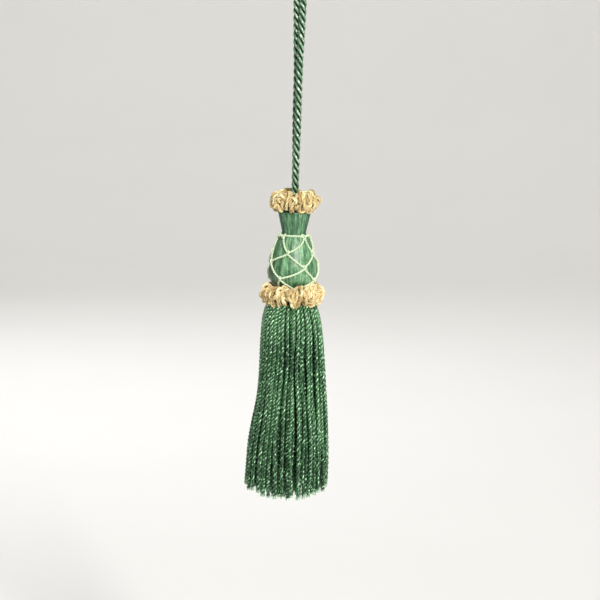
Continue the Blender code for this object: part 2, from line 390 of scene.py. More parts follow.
def remove(piece):
    """Removes a master that has done its work."""
    mesh = piece.data
    bpy.data.objects.remove(piece)
    bpy.data.meshes.remove(mesh)


# %% [markdown]
# ## The head
#
# The mould is turned on a lathe and covered with floss, wound lengthways from the neck to the foot, so
# that none of the wood shows. A spun profile would give the shape. Here a ring is extruded down the
# outline instead, one section at a time, with two columns of points for each thread of the floss.
# Drawing in every second column then leaves a ridge for each thread, and drawing some in further
# gives the uneven winding of a hand-made piece.

# %% The head's outline
# Columns: drop, radius.
HEAD_OUTLINE = (
    (0.0026, 0.0021),
    (0.0030, 0.0024),
    (0.0050, 0.0025),
    (0.0068, 0.0025),
    (0.0072, 0.0046),
    (0.0076, 0.0052),
    (0.0086, 0.0050),
    (0.0108, 0.0045),
    (0.0130, 0.0040),
    (0.0146, 0.0038),
    (0.0152, 0.0045),
    (0.0165, 0.0051),
    (0.0186, 0.0059),
    (0.0208, 0.0066),
    (0.0232, 0.0073),
    (0.0256, 0.0077),
    (0.0274, 0.0076),
    (0.0290, 0.0072),
    (0.0301, 0.0064),
    (0.0308, 0.0055),
    (0.0314, 0.0046),
    (0.0319, 0.0038),
    (0.0325, 0.0034),
    (0.0362, 0.0033),
)
FLOSS_THREADS = 132
FLOSS_GROOVE = 0.045 * MM
GROOVE_DEPTHS = (0.6, 1.4)  # as a share of that
GROOVES_TO_A_DEEP_ONE = 7
DEEP_GROOVE = 2.4  # times as deep as the others
WAIST_DROP = 0.0148


smooth_outline = smooth_curve([Vector((*row, 0.0)) for row in HEAD_OUTLINE], steps=3)
HEAD_SECTIONS = [(point.x, point.y) for point in smooth_outline]


def row_at(rows, drop):
    """The values of a table at this drop, on a straight line between two of its rows."""
    for row_a, row_b in zip(rows, rows[1:]):
        if drop <= row_b[0]:
            break
    share = min(1.0, max(0.0, (drop - row_a[0]) / (row_b[0] - row_a[0])))
    return [a + share * (b - a) for a, b in zip(row_a[1:], row_b[1:])]


def bump_at(value, middle, width):
    """1 at the middle, and less the further the value is from it."""
    return math.exp(-(((value - middle) / width) ** 2))


def painted_floss_shade(drop, turn):
    """Painted shade: how much darker the floss is painted on the neck, under the ruff, and low on the
    left side of the head, away from the light.
    """
    if drop < WAIST_DROP:
        return 0.40
    return 0.45 * bump_at(turn, -62, 30) * bump_at(drop, 0.027, 0.006)


# %% Winding the head
def extruded_head(columns):
    """A ring of points carried down the head's sections."""
    drop, radius = HEAD_SECTIONS[0]
    bpy.ops.mesh.primitive_circle_add(vertices=columns, radius=radius, location=(0, 0, 0))
    head = bpy.context.object
    head.name = "head_floss"
    head.data.transform(Matrix.Translation((0, 0, -HANG_HEIGHT - drop)))
    bpy.ops.object.mode_set(mode="EDIT")
    bpy.ops.mesh.select_all(action="SELECT")
    bpy.ops.mesh.edge_face_add()
    for next_drop, next_radius in HEAD_SECTIONS[1:]:
        down = {"value": (0, 0, drop - next_drop)}
        bpy.ops.mesh.extrude_edges_move(TRANSFORM_OT_translate=down)
        share = next_radius / radius
        bpy.ops.transform.resize(
            value=(share, share, 1.0), center_override=(0, 0, -HANG_HEIGHT - next_drop)
        )
        drop, radius = next_drop, next_radius
    bpy.ops.mesh.edge_face_add()
    finish_edit()
    return head


def wind_floss(head, columns, seed):
    """Draws in the columns between threads, and gives each thread its own tone, less the painted shade.
    """
    rng = random.Random(seed)
    depth = [0.0 if i % 2 else FLOSS_GROOVE * rng.uniform(*GROOVE_DEPTHS) for i in range(columns)]
    for i in rng.sample(range(0, columns, 2), columns // (2 * GROOVES_TO_A_DEEP_ONE)):
        depth[i] *= DEEP_GROOVE
    tone = [rng.random() for _ in range(columns // 2)]
    mark = head.data.attributes.new("tone", "FLOAT", "POINT")
    for vert, value in zip(head.data.vertices, mark.data):
        co = vert.co
        column = round(math.atan2(co.y, co.x) * columns / math.tau) % columns
        share = 1.0 - depth[column] / math.hypot(co.x, co.y)
        co.x *= share
        co.y *= share
        value.value = tone[column // 2] - painted_floss_shade(*drop_and_turn(co))


head = extruded_head(2 * FLOSS_THREADS)
wind_floss(head, 2 * FLOSS_THREADS, seed=5)
print(f"{FLOSS_THREADS} threads of floss, {len(HEAD_SECTIONS)} sections")

# %% [markdown]
# ## The net
#
# The net is made on the head with a needle: one round of loops hangs from a ring of thread at the
# waist, each next round hangs from the loops of the round above, and the last one runs in under the
# lower ruff. Where two rounds meet, the lower thread passes over the upper one, round behind it and
# out across itself, which makes a small hitch. A net of plain crossing curves would be shorter to
# write, but it wouldn't hold. So each round is one thread, whose route is worked out from the places
# of the hitches, and a thin two-ply yarn is laid along it. The rounds are uneven, as handwork is.

# %% The places of the hitches
THREAD_WIDTH = 0.70 * MM
THREAD_PITCH = 1.6 * MM
RING_DROP = 0.0149
HITCH_STEPS = 12
HITCH_FOOT = 0.5 * MM  # how far below its place the thread leaves a hitch
# The places where the net hangs from its ring. Columns: drop, turn in degrees, from the back round.
WAIST_HITCHES = (
    (0.0150, 176), (0.0150, 232), (0.0150, 276),
    (0.0150, 319), (0.0151, 401), (0.0151, 460),
)
# A row for each round: the lowest places of its loops, one between each two hitches above.
# Columns: drop, turn, and how far the two sides of the loop bow downwards, in millimetres.
NET_ROUNDS = (
    (
        (0.0202, 207, 0.3), (0.0200, 281, 0.0), (0.0150, 298, 0.0),
        (0.0200, 345.5, 0.5), (0.0201, 422, 0.2), (0.0198, 500, 0.3),
    ),
    (
        (0.0238, 246, 0.2), (0.0231, 296, 0.0), (0.0245, 387, 0.1),
        (0.0239, 463, 0.2), (0.0243, 536, 0.2),
    ),
    (
        (0.0288, 254, 0.1), (0.0282, 329, 0.45), (0.0288, 421, 0.1),
        (0.0284, 500, 0.2), (0.0279, 573, 0.2),
    ),
    (
        (0.0322, 298, 0.2), (0.0321, 372, 0.35), (0.0322, 459, 0.2),
        (0.0322, 538, 0.2), (0.0322, 606, 0.2),
    ),
)

# %% The way of a round
def on_head(drop, turn, lift):
    """A point at this height above the floss."""
    return place(drop, row_at(HEAD_SECTIONS, drop)[0] + lift, turn)


def hitch(drop, turn):
    """The points of one hitch round the upper thread: over it, behind it and out across itself."""
    half_in = 0.16 * MM
    half_width = 0.30 * MM
    half_height = 0.55 * MM
    mean_lift = 0.42 * MM
    radius = row_at(HEAD_SECTIONS, drop)[0]
    points = []
    for i in range(HITCH_STEPS + 1):
        angle = math.tau * i / HITCH_STEPS
        across = half_in * (angle - math.pi) / math.pi + half_width * math.sin(angle)
        down = half_height * math.cos(angle)
        lift = mean_lift * (1.0 + math.sin(angle))
        points.append(on_head(drop + down, turn + math.degrees(across / radius), lift))
    return points


def arm(start, end, bow):
    """Points on one side of a loop, between two places, bowed down by this many millimetres."""
    points = []
    for share in (0.2, 0.4, 0.6, 0.8):
        drop = start[0] + share * (end[0] - start[0]) + bow * MM * math.sin(math.pi * share)
        turn = start[1] + share * (end[1] - start[1])
        points.append(on_head(drop, turn, 0.5 * THREAD_WIDTH))
    return points


def round_route(uppers, lowers):
    """One round's thread: from each hitch down to the lowest place of its loop and up to the next."""
    spots = list(zip(uppers, lowers))
    behind = min(range(len(spots)), key=lambda i: abs(spots[i][0][1] % 360 - 180))
    lap = 360.0
    spots = spots[behind:] + [
        ((u[0], u[1] + lap), (low[0], low[1] + lap, low[2])) for u, low in spots[:behind]
    ]
    ends = [spot[0] for spot in spots[1:]] + [(spots[0][0][0], spots[0][0][1] + lap)]
    points = hitch(*spots[0][0])
    for (upper, lower), after in zip(spots, ends):
        points += arm((upper[0] + HITCH_FOOT, upper[1]), lower, lower[2])
        points.append(on_head(lower[0], lower[1], 0.6 * THREAD_WIDTH))
        points += arm(lower, (after[0] + HITCH_FOOT, after[1]), lower[2])
        points += hitch(*after)
    return points


def lay_thread(points, name, tone):
    """A two-ply thread along these points."""
    curve = smooth_curve(points, steps=4)
    turns = max(1, round(route_length(curve) / THREAD_PITCH))
    thread = twisted_yarn(
        name, ply_width=0.52 * THREAD_WIDTH, reach=0.25 * THREAD_WIDTH,
        pitch=THREAD_PITCH, turns=turns, rings=7, sides=6, hand=S_TWIST,
    )
    lay_along(thread, curve)
    set_tone(thread, tone)
    return thread


# %% Laying the net
waist_ring = [on_head(RING_DROP, turn, 0.5 * THREAD_WIDTH) for turn in range(170, 541, 10)]
threads = [lay_thread(waist_ring, "waist_ring", 0.6)]
held = WAIST_HITCHES
for number, lowest in enumerate(NET_ROUNDS):
    threads.append(lay_thread(round_route(held, lowest), f"round_{number}", 0.35 + 0.15 * number))
    held = [(drop, turn) for drop, turn, _ in lowest if drop > WAIST_HITCHES[-1][0]]
net = join(threads, "net_thread_rounds")
print(f"{len(NET_ROUNDS)} rounds of net")

# %% [markdown]
# ## The ruffs
#
# A ruff is a soft two-ply yarn, looped close together along a cord that is then drawn into a ring. Most
# of its loops lie over the ring from the top to the underside, as the ribs of a turban do, and droop
# outwards. Others have sprung out as curls. One short straight yarn serves for all of them: each rib
# or curl is a copy, laid along a way of its own over a hidden core ring.

# %% The two ruffs
RUFF_YARN = 1.08 * MM
RUFF_PITCH = 2.6 * MM
NECK_RUFF = {
    "radius": 5.00 * MM,  # of the ring, through the middle of its section
    "half_width": 2.12 * MM,  # of the section, to the middle of the yarn
    "half_height": 2.17 * MM,
    "sag": 0.20,  # how much deeper the section is under its middle than above it
    "droop": 0.5 * MM,  # how far the outside hangs down
    "tilt": 0.0,  # how much higher the right side is than the middle
    "ribs": 32,
    "curls": 56,
    "sprung": ((-38, 30, 1.15), (22, 70, 1.1)),  # big curls: turn, place round the section, size
    # The neck ruff's tones are set lower than the skirt ruff's: painted shade that darkens it as a
    # whole.
    "tones": (-0.80, 1.10),
    "seed": 11,
}
SKIRT_RUFF = {
    "radius": 7.15 * MM,
    "half_width": 2.17 * MM,
    "half_height": 2.22 * MM,
    "sag": 0.22,
    "droop": 0.1 * MM,
    "tilt": 0.30 * MM,
    "ribs": 44,
    "curls": 84,
    "sprung": ((-82, 60, 1.5), (-27, 42, 1.35)),
    "tones": (-0.35, 1.35),
    "seed": 23,
}

# %% Ways over a ruff
# A rib's way over the section. Columns: turn round the section in degrees, from the outside upwards,
# and distance from its middle as a share of the section's own.
RIB_WAY = (
    (160, 0.90),
    (125, 1.00),
    (90, 1.04),
    (55, 0.98),
    (20, 1.00),
    (-15, 1.04),
    (-50, 1.02),
    (-85, 0.94),
    (-120, 0.84),
)
SHORT_RIB_START = 2  # every second rib starts this many rows later, so that the middle isn't crowded
RIB_LEAN = 11.0  # in degrees round the ring, as is the waver
RIB_WAVER = 3.0
RIB_BULGES = (-0.10, 0.16)
# Half of a curl, from its root to its tip, in millimetres. Columns: sideways, outwards.
CURL_WAY = ((0.45, -0.80), (0.80, -0.10), (0.78, 0.55), (0.45, 0.98), (0.0, 1.10))
CURL_PLACES = (-82.0, 115.0)  # round the section, in degrees
CURL_ROOT = 0.95  # as a share of the section's size
CURL_SIZES = (0.60, 1.05)
CURL_SLANT = (90.0, 40.0)  # the middle and the spread, in degrees from lying along the ring
CURL_FLOP = 0.35
CORE_INSET = 0.45 * RUFF_YARN  # from the middle of the yarn in to the core
LOOP_GIRTHS = (0.85, 1.15)


def on_ruff(ruff, turn, around, stand):
    """A point over a ruff, this far round its section in degrees, at this share of its size."""
    angle = math.radians(around)
    side = math.sin(math.radians(turn))
    reach = ruff["radius"] + stand * ruff["half_width"] * math.cos(angle)
    deep = 1.0 + (ruff["sag"] if around < 0 else 0.0)
    rise = stand * deep * ruff["half_height"] * math.sin(angle) + ruff["tilt"] * side
    droop = ruff["droop"] * (0.7 + 0.3 * side) * max(0.0, math.cos(angle))
    return place(ruff["drop"] - rise + droop, reach, turn)


def rib_way(ruff, turn, start, rng):
    """One loop over the ring. Each one leans, bulges and wavers in its own way."""
    lean = rng.gauss(0.0, RIB_LEAN)
    bulge = rng.uniform(*RIB_BULGES)
    phase = rng.uniform(0, math.tau)
    points = []
    for row, (around, stand) in enumerate(RIB_WAY[start:], start):
        share = row / (len(RIB_WAY) - 1) - 0.5
        sideways = lean * share + RIB_WAVER * math.sin(phase + 7.0 * share)
        swell = 1.0 + bulge * math.cos(math.pi * share)
        points.append(on_ruff(ruff, turn + sideways, around, stand * swell))
    return smooth_curve(points, steps=2)


def curl_way(ruff, turn, around, size, rng):
    """A small loop that stands up from the ribs."""
    root = on_ruff(ruff, turn, around, CURL_ROOT)
    out = (on_ruff(ruff, turn, around, 1.5) - root).normalized()
    along = Vector((math.cos(math.radians(turn)), math.sin(math.radians(turn)), 0.0))
    across = out.cross(along)
    slant = math.radians(rng.gauss(*CURL_SLANT))
    sideways = math.cos(slant) * along + math.sin(slant) * across
    flop = rng.gauss(0.0, CURL_FLOP) * out.cross(sideways)
    there_and_back = CURL_WAY + tuple((-x, z) for x, z in CURL_WAY[-2::-1])
    points = [
        root + (x * sideways + z * out + max(0.0, z) * flop) * MM * size for x, z in there_and_back
    ]
    return smooth_curve(points, steps=2)


# %% Setting the loops
def ruff_yarn(name, turns, rings):
    """A straight length of soft yarn."""
    return twisted_yarn(
        name, ply_width=0.62 * RUFF_YARN, reach=0.19 * RUFF_YARN,
        pitch=RUFF_PITCH, turns=turns, rings=rings, sides=8, hand=Z_TWIST,
    )


def lay_loop(master, way, tone, rng):
    """A rib or a curl. Each one has its own thickness, and its twist starts at its own place."""
    girth = rng.uniform(*LOOP_GIRTHS)
    return laid_copy(master, way, girth, rng.uniform(0, math.tau), tone)


def looped_ruff(name, ruff):
    """All ribs and curls of a ruff."""
    rng = random.Random(ruff["seed"])
    loops = []
    for i in range(ruff["ribs"]):
        turn = 360.0 * (i + rng.uniform(-0.25, 0.25)) / ruff["ribs"]
        way = rib_way(ruff, turn, SHORT_RIB_START * (i % 2), rng)
        loops.append(lay_loop(rib_yarn, way, rng.uniform(*ruff["tones"]), rng))
    for i in range(ruff["curls"]):
        turn = 360.0 * (i + rng.uniform(-0.4, 0.4)) / ruff["curls"]
        way = curl_way(ruff, turn, rng.uniform(*CURL_PLACES), rng.uniform(*CURL_SIZES), rng)
        loops.append(lay_loop(curl_yarn, way, rng.uniform(*ruff["tones"]), rng))
    for turn, around, size in ruff["sprung"]:
        way = curl_way(ruff, turn, around, size, rng)
        loops.append(lay_loop(curl_yarn, way, ruff["tones"][1], rng))
    print(f"{name}: {len(loops)} loops")
    return join(loops, name)


def ruff_core(name, ruff):
    """The hidden ring that the loops lie on."""
    half_width = ruff["half_width"] - CORE_INSET
    half_height = ruff["half_height"] - CORE_INSET
    bpy.ops.mesh.primitive_torus_add(
        major_radius=ruff["radius"], minor_radius=half_width, major_segments=72, minor_segments=14
    )
    core = bpy.context.object
    core.name = name
    bpy.ops.object.mode_set(mode="EDIT")
    bpy.ops.mesh.select_all(action="SELECT")
    bpy.ops.transform.resize(value=(1, 1, half_height / half_width), center_override=(0, 0, 0))
    bpy.ops.transform.translate(value=(0, 0, -HANG_HEIGHT - ruff["drop"]))
    finish_edit()
    set_tone(core, 0.0)
    return core


rib_yarn = ruff_yarn("rib_yarn", 3, rings=8)
curl_yarn = ruff_yarn("curl_yarn", 1, rings=14)
ruffs = {}
for node, ruff in (("neck_ruff", NECK_RUFF), ("skirt_ruff", SKIRT_RUFF)):
    low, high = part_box(node)
    ruff["drop"] = -HANG_HEIGHT - 0.5 * (low.z + high.z)
    ruffs[node] = [ruff_core(f"{node}_core", ruff), looped_ruff(f"{node}_loops", ruff)]
remove(rib_yarn)
remove(curl_yarn)

# %% [markdown]
# ## The skirt
#
# The skirt is bullion fringe: a thick yarn is folded in half and let go, and its own twist closes the
# two halves into a rope with a rounded loop at the end. One straight strand is modelled with that
# looped end. Each copy is turned by its own amount about its axis, so that the twists of neighbours
# don't line up, and then laid along its own way down. A particle system would be quicker, but its
# strands couldn't be placed one by one. They hang in rows, one inside the other, part into tufts,
# which shows as dark lines, and lie further in at the front, where the skirt has been handled.

# %% The shape of the skirt
STRAND_WIDTH = 1.28 * MM
STRAND_PITCH = 2.8 * MM
STRAND_TURNS = (18, 21, 24, 27)
FINE_ROWS = 2  # the outer rows, which show, get finer strands than the others
STRAND_TOP_DROP = 0.0366
STRAND_STEPS = 14
STRAND_SHIFT = 1.8  # how far a strand may be out of its place in the row, in degrees
STRAND_SET_BACK = 0.5 * MM
STRAND_END_SPREAD = 0.35 * MM
STRAND_WANDER = 0.34 * MM
STRAND_WAVES = (0.8, 2.2)
STRAND_GIRTHS = (0.90, 1.10)
# Columns: drop, then the skirt's outer radius at the right and at the left.
SKIRT_OUTLINE = (
    (0.0366, 0.0078, 0.0083),
    (0.0384, 0.0086, 0.0091),
    (0.0420, 0.0097, 0.0097),
    (0.0455, 0.0103, 0.0099),
    (0.0506, 0.0109, 0.0101),
    (0.0560, 0.0113, 0.0103),
    (0.0615, 0.0117, 0.0105),
    (0.0667, 0.0123, 0.0108),
    (0.0720, 0.0128, 0.0115),
    (0.0770, 0.0131, 0.0125),
    (0.0830, 0.0132, 0.0135),
    (0.0900, 0.0133, 0.0140),
    (0.1000, 0.0133, 0.0142),
)
# Where the strands part into tufts. Columns: turn in degrees, drop from and to.
PARTINGS = (
    (-150, 0.050, 0.110),
    (-115, 0.062, 0.110),
    (-87, 0.058, 0.090),
    (-52, 0.066, 0.110),
    (-18, 0.064, 0.090),
    (13, 0.056, 0.094),
    (33, 0.052, 0.068),
    (62, 0.076, 0.110),
    (95, 0.055, 0.110),
    (140, 0.060, 0.086),
    (172, 0.066, 0.110),
)
PARTING_PUSH = 3.2  # how far a parting moves the strands beside it, in degrees
PARTING_REACH = 10.0  # how far round its push is felt, in degrees
PARTING_FADE = 4.0  # how fast the push fades in the rows further in
SIDE_RISE = 1.7 * MM  # how much shorter the strands are at the two sides of the skirt
HOLLOW_DEPTH = 2.3 * MM
# Painted light and shade on the fringe, added to its tone: where it is painted lighter, or darker if the
# first number is negative. Columns: how much, drop and half height, turn and half width in degrees, or
# none of these two where it is all round.
PAINTED_LIGHT_AND_SHADE = (
    (0.80, 0.0420, 0.0070, None, None),  # painted light, where light gets in under the ruff
    (-0.85, 0.0535, 0.0065, 2, 32.0),  # painted shade over the hollow in front
    (1.00, 0.0740, 0.0080, 60, 9.0),  # painted highlight on a tuft that stands out
    (0.45, 0.0660, 0.0070, 5, 60.0),  # painted light where the skirt turns outwards again
    (-0.36, 0.0890, 0.0090, None, None),  # painted shade where the lower part turns away from the light
)
# Columns: strands, turn of the first, and how far in from the outside: a part of the way to the axis
# at the heading and at the ends, and a distance; then the drop of the ends, and the lowest and the
# highest tone of a strand.
# The rows behind the outer one get low tones: painted shade between the strands.
FRINGE_ROWS = (
    (36, 3, 0.00, 0.00, 0.0, 0.0980, 0.2, 1.0),
    (36, 8, 0.10, 0.02, 0.45 * MM, 0.0980, 0.0, 0.4),
    (28, 7, 0.24, 0.14, 0.6 * MM, 0.0979, 0.0, 0.4),
    (20, 0, 0.42, 0.32, 0.6 * MM, 0.0978, 0.0, 0.4),
    (12, 20, 0.64, 0.54, 0.6 * MM, 0.0977, 0.0, 0.4),
    (5, 40, 0.86, 0.80, 0.0, 0.0976, 0.0, 0.4),
)

# %% The way down of a strand
def away_from(turn, other):
    """How far one turn is past another, from -180 to 180 degrees."""
    return (turn - other + 180.0) % 360.0 - 180.0


def parting_push(turn, drop):
    """How far the partings move a strand round the axis at this drop, in degrees."""
    push = 0.0
    for parting, top, bottom in PARTINGS:
        if top < drop < bottom:
            share = math.sin(math.pi * (drop - top) / (bottom - top))
            away = away_from(turn, parting)
            push += math.copysign(share * PARTING_PUSH * math.exp(-abs(away) / PARTING_REACH), away)
    return push


def skirt_radius(drop, turn):
    """The skirt's outer radius, with the hollow in front where it has been handled."""
    right, left = row_at(SKIRT_OUTLINE, drop)
    rightness = 0.5 + 0.5 * math.sin(math.radians(turn))
    hollow = HOLLOW_DEPTH * bump_at(drop, 0.0555, 0.0085) * bump_at(away_from(turn, 2), 0.0, 30.0)
    return left + rightness * (right - left) - hollow


def painted_light_and_shade(co):
    """How much painted light the fringe gets at this place, or painted shade where it is negative."""
    drop, turn = drop_and_turn(co)
    lighter = 0.0
    for amount, middle, half_height, side, half_width in PAINTED_LIGHT_AND_SHADE:
        here = amount * bump_at(drop, middle, half_height)
        if side is not None:
            here *= bump_at(away_from(turn, side), 0.0, half_width)
        lighter += here
    return lighter


def strand_route(row, index, rng):
    """Points from a strand's looped end up to the heading."""
    count, first_turn, in_top, in_end, inset, end_drop, _, _ = row
    turn = first_turn + 360.0 * index / count + rng.uniform(-STRAND_SHIFT, STRAND_SHIFT)
    end_drop += rng.gauss(0.0, STRAND_END_SPREAD) - SIDE_RISE * math.sin(math.radians(turn)) ** 2
    set_back = rng.uniform(0.0, STRAND_SET_BACK)
    phase = rng.uniform(0, math.tau)
    waves = rng.uniform(*STRAND_WAVES)
    parted = max(0.0, 1.0 - PARTING_FADE * in_top)
    points = []
    for part in range(STRAND_STEPS + 1):
        share = 1.0 - part / STRAND_STEPS
        drop = STRAND_TOP_DROP + share * (end_drop - STRAND_TOP_DROP)
        outside = skirt_radius(drop, turn) - 0.5 * STRAND_WIDTH - inset - set_back
        wander = STRAND_WANDER * math.sqrt(share) * math.sin(phase + math.tau * waves * share)
        reach = outside * (1.0 - in_top - share * (in_end - in_top)) + 0.5 * wander
        sway = parted * parting_push(turn, drop) + math.degrees(wander / max(reach, 2 * MM))
        points.append(place(drop, reach, turn + sway))
    return smooth_curve(points, steps=3)


# %% Hanging the fringe
def bullion_strand(name, turns, rings, sides):
    """A straight two-ply strand with its looped end at z = 0."""
    strand = twisted_yarn(
        name, ply_width=0.50 * STRAND_WIDTH, reach=0.25 * STRAND_WIDTH,
        pitch=STRAND_PITCH, turns=turns, rings=rings, sides=sides, hand=Z_TWIST, looped=True,
    )
    lowest = min(vert.co.z for vert in strand.data.vertices)
    strand.data.transform(Matrix.Translation((0, 0, -lowest)))
    return strand


def hang_row(masters, row, name, rng):
    """Copies of the master strands, each laid along its own way down."""
    count, *_, lowest_tone, highest_tone = row
    strands = []
    for index in range(count):
        master = rng.choice(masters)
        girth = rng.uniform(*STRAND_GIRTHS)
        spin = rng.uniform(0, math.tau)
        way = strand_route(row, index, rng)
        tone = rng.uniform(lowest_tone, highest_tone)
        strands.append(laid_copy(master, way, girth, spin, tone, painted_light_and_shade))
    print(f"{name}: {count} strands")
    return join(strands, name)


fringe_rng = random.Random(41)
fine_strands = [bullion_strand(f"fine_{turns}", turns, rings=7, sides=7) for turns in STRAND_TURNS]
plain_strands = [bullion_strand("plain", STRAND_TURNS[1], rings=6, sides=6)]
fringes = []
for number, row in enumerate(FRINGE_ROWS):
    masters = fine_strands if number < FINE_ROWS else plain_strands
    fringes.append(hang_row(masters, row, f"fringe_row_{number + 1}", fringe_rng))
for strand in fine_strands + plain_strands:
    remove(strand)

# %% [markdown]
# ## The stage
#
# The tassel hangs in the air over a plain pale floor. The floor rises into a round wall a long way off,
# so that the background stays plain from every side. The key light is small and in front, a little to
# the right, because a small light gives rayon its glints. A large light overhead and a weak one behind
# keep the shaded sides readable, and one that is turned away from the tassel lights the wall.

# %% Stage
FLOOR_HEIGHT = -0.30
FLOOR_RADIUS = 2.4
WALL_HEIGHT = 2.2
COVE_WIDTH = 0.9

bpy.ops.mesh.primitive_circle_add(
    vertices=64, radius=FLOOR_RADIUS, fill_type="NGON", location=(0, 0, FLOOR_HEIGHT)
)
floor = bpy.context.object
floor.name = "studio_floor"
bpy.ops.object.transform_apply(location=True, rotation=False, scale=False)
bpy.ops.object.mode_set(mode="EDIT")
select_points(lambda co: True)
bpy.ops.mesh.extrude_edges_move(TRANSFORM_OT_translate={"value": (0, 0, WALL_HEIGHT)})
select_points(lambda co: co.z < FLOOR_HEIGHT + 0.01)
bpy.ops.mesh.bevel(offset=COVE_WIDTH, segments=12, affect="EDGES")
bpy.ops.object.mode_set(mode="OBJECT")
bpy.ops.object.shade_smooth()


def add_soft_light(name, azimuth, height_angle, distance, size, power, colour, target=LOOK_AT):
    """A square area light that points at its target. Azimuth 0 is at the camera's side of it."""
    side = math.radians(azimuth)
    up = math.radians(height_angle)
    way = Vector((math.sin(side) * math.cos(up), -math.cos(side) * math.cos(up), math.sin(up)))
    bpy.ops.object.light_add(type="AREA", location=target + distance * way)
    light = bpy.context.object
    light.name = name
    light.rotation_euler = (-way).to_track_quat("-Z", "Y").to_euler()
    light.data.size = size
    light.data.energy = power
    light.data.color = colour


add_soft_light("key_light", 20, 27, 0.9, 0.14, 9.0, (1.0, 0.97, 0.92))
add_soft_light("top_light", 20, 75, 1.5, 1.3, 7.0, (1.0, 0.99, 0.97))
add_soft_light("back_light", 200, 30, 1.1, 0.5, 3.5, (0.96, 0.98, 1.0))
wall = Vector((0.0, FLOOR_RADIUS, 0.1))
add_soft_light("wall_light", 0, 35, 1.8, 0.8, 9.0, (1.0, 0.99, 0.97), wall)

world = bpy.data.worlds.new("studio_world")
bpy.context.scene.world = world
world.use_nodes = True
sky = world.node_tree.nodes["Background"].inputs
sky["Color"].default_value = (0.95, 0.97, 1.0, 1.0)
sky["Strength"].default_value = 0.36
bpy.context.scene.view_settings.view_transform = "Standard"

# %% [markdown]
# ## Materials as sums
#
# A material is a network of small nodes. Written node by node it is hard to read, so one small class
# wraps the output of a node, and Python's own signs then add the Math nodes: `1 - groove * 0.4` is
# three nodes' worth of network. Any other node comes from the method `node`.

# %% Shader sums
class Wire:
    """The output of a node. With no output it is only the start of a network."""

    def __init__(self, tree, socket=None):
        self.tree = tree
        self.socket = socket

    def node(self, kind, settings=None, inputs=None, output=0):
        """Adds a node: first its settings, then the values or wires of its sockets."""
        new = self.tree.nodes.new(kind)
        for name, value in (settings or {}).items():
            setattr(new, name, value)
        for name, value in (inputs or {}).items():
            if isinstance(value, Wire):
                self.tree.links.new(value.socket, new.inputs[name])
            else:
                new.inputs[name].default_value = value
        return Wire(self.tree, new.outputs[output])

    def maths(self, operation, first, second):
        return self.node("ShaderNodeMath", {"operation": operation}, {0: first, 1: second})

    def __add__(self, other):
        return self.maths("ADD", self, other)

    def __sub__(self, other):
        return self.maths("SUBTRACT", self, other)

    def __rsub__(self, other):
        return self.maths("SUBTRACT", other, self)

    def __mul__(self, other):
        return self.maths("MULTIPLY", self, other)

    __radd__ = __add__
    __rmul__ = __mul__

    def between(self, low, high):
        """0 at low, 1 at high, and smooth between them."""
        settings = {"interpolation_type": "SMOOTHSTEP"}
        inputs = {"Value": self, "From Min": low, "From Max": high}
        return self.node("ShaderNodeMapRange", settings, inputs)

    def mixed(self, first, second, blend="MIX"):
        """The first colour where this is 0, the second where it is 1, or the two multiplied."""
        # A Mix node has sockets for every kind of data: these numbers are those of its colours.
        settings = {"data_type": "RGBA", "blend_type": blend}
        return self.node("ShaderNodeMix", settings, {0: self, 6: first, 7: second}, output=2)

    def noise(self, vector, scale, detail=2.0, rough=0.5):
        inputs = {"Vector": vector, "Scale": scale, "Detail": detail, "Roughness": rough}
        return self.node("ShaderNodeTexNoise", None, inputs)

    def joined(self, x, y, z):
        """A vector made of three numbers."""
        return self.node("ShaderNodeCombineXYZ", None, {"X": x, "Y": y, "Z": z})

    def parts(self, vector):
        """The three numbers of a vector."""
        split = self.node("ShaderNodeSeparateXYZ", None, {"Vector": vector})
        return [Wire(self.tree, socket) for socket in split.socket.node.outputs]


# %% Parts of a finish
STREAK_HEIGHT = 0.05 * MM


def new_finish(name, **fixed):
    """A new material, with fixed values on its shader. Returns it, its shader and its first wire."""
    material = bpy.data.materials.new(name)
    material.use_nodes = True
    shader = material.node_tree.nodes["Principled BSDF"]
    for socket, value in fixed.items():
        shader.inputs[socket.replace("_", " ")].default_value = value
    return material, shader, Wire(material.node_tree)


def plug(shader, name, wire):
    wire.tree.links.new(wire.socket, shader.inputs[name])


def shade(colour, times=1.0, plus=0.0):
    """The colour made lighter or darker, with the fourth number that a colour socket wants."""
    return (*[min(1.0, times * channel + plus) for channel in colour], 1.0)


def three_tones(strength, dark, middle, light, dark_end, light_start):
    """The colour that goes from dark at a strength of 0, over middle, to light at 1."""
    colour = strength.between(0.0, dark_end).mixed(shade(dark), shade(middle))
    return strength.between(light_start, 1.0).mixed(colour, shade(light))


def plug_streaked(shader, colour, roughness, streak, bump):
    """Plugs in a colour and a roughness, and lifts the streaks a little as a bump."""
    lifted = {"Strength": bump, "Distance": STREAK_HEIGHT, "Height": streak}
    plug(shader, "Base Color", colour)
    plug(shader, "Roughness", roughness)
    plug(shader, "Normal", streak.node("ShaderNodeBump", None, lifted))


# %% [markdown]
# ## Rayon yarn
#
# Rayon is bright and smooth. A twisted rayon yarn shows fine filaments that run along each ply, a
# glint on the back of each ply and a deep dark groove between two plies. The groove is darkened in the
# colour, as painted shade. The filaments are a noise that is stretched along the ply. It also lifts and
# lowers the surface a little as a bump, which breaks the glints up into short streaks. A second noise,
# which reads the place in space, paints bright specks as painted glints where filaments bunch, and dark
# specks of painted shade where they part.

# %% Yarn finish
FIBRE_GRAIN = (0.5, 5.0)  # how fine the filaments are along a ply, and round it
TONE_SHIFT = 37.0  # moves the filaments of one strand away from those of the next
SPECK_GRAIN = 1250.0


